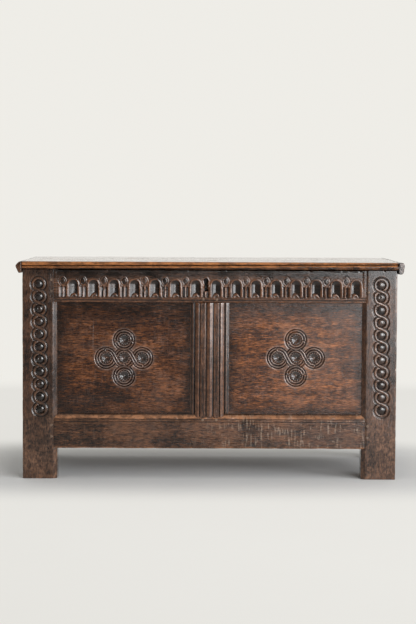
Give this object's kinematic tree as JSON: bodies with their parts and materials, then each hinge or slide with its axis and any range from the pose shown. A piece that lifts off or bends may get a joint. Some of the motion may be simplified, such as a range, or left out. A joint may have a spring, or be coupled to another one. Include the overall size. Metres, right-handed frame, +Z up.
{
  "type": "wooden coffer",
  "caption": "Joined oak coffer with carved front frame and panels, a boarded lid that opens on iron strap hinges at the back, and a lock behind a keyhole.",
  "frame": {"origin": "on the floor under the middle of the overall box", "axes": "+X along the length to the right as seen from the front, +Y from front to back, +Z up"},
  "size_m": [1.22, 0.5348, 0.6883],
  "materials": {
    "frame_oak": "waxed",
    "panel_oak": "waxed",
    "lid_oak": "waxed",
    "floor_oak": "matte",
    "peg_oak": "matte",
    "iron": "matte"
  },
  "bodies": {
    "carcase": {"back_bottom_rail": "frame_oak", "back_left_panel": "panel_oak", "back_left_stile": "frame_oak", "back_muntin": "frame_oak", "back_right_panel": "panel_oak", "back_right_stile": "frame_oak", "back_top_rail": "frame_oak", "floor_board_1": "floor_oak", "floor_board_2": "floor_oak", "floor_board_3": "floor_oak", "floor_board_4": "floor_oak", "floor_board_5": "floor_oak", "front_bottom_rail": "frame_oak", "front_left_panel": "panel_oak", "front_left_stile": "frame_oak", "front_muntin": "frame_oak", "front_right_panel": "panel_oak", "front_right_stile": "frame_oak", "front_top_rail": "frame_oak", "left_hinge_back_strap": "iron", "left_hinge_pin": "iron", "left_side_bottom_rail": "frame_oak", "left_side_panel": "panel_oak", "left_side_top_rail": "frame_oak", "lock_case": "iron", "peg_front_left_bottom_1": "peg_oak", "peg_front_left_bottom_2": "peg_oak", "peg_front_left_top_1": "peg_oak", "peg_front_left_top_2": "peg_oak", "peg_front_right_bottom_1": "peg_oak", "peg_front_right_bottom_2": "peg_oak", "peg_front_right_top_1": "peg_oak", "peg_front_right_top_2": "peg_oak", "peg_left_side_bottom_back": "peg_oak", "peg_left_side_bottom_front": "peg_oak", "peg_left_side_top_back": "peg_oak", "peg_left_side_top_front": "peg_oak", "peg_muntin_bottom_1": "peg_oak", "peg_muntin_bottom_2": "peg_oak", "peg_muntin_top_1": "peg_oak", "peg_muntin_top_2": "peg_oak", "peg_right_side_bottom_back": "peg_oak", "peg_right_side_bottom_front": "peg_oak", "peg_right_side_top_back": "peg_oak", "peg_right_side_top_front": "peg_oak", "right_hinge_back_strap": "iron", "right_hinge_pin": "iron", "right_side_bottom_rail": "frame_oak", "right_side_panel": "panel_oak", "right_side_top_rail": "frame_oak"},
    "lid": {"left_hinge_lid_strap": "iron", "lid_back_board": "lid_oak", "lid_front_board": "lid_oak", "lid_left_cleat": "lid_oak", "lid_middle_board": "lid_oak", "lid_right_cleat": "lid_oak", "lid_staple": "iron", "right_hinge_lid_strap": "iron"},
    "bolt": {"lock_bolt": "iron"}
  },
  "joints": [
    {"name": "lid_hinge", "type": "hinge", "parent": "carcase", "child": "lid", "pos_m": [0, 0.2619, 0.658], "axis": [-1, 0, 0], "range_deg": [0, 100]},
    {"name": "bolt_slide", "type": "slide", "parent": "carcase", "child": "bolt", "axis": [1, 0, 0], "range_m": [0, 0.0175]}
  ]
}
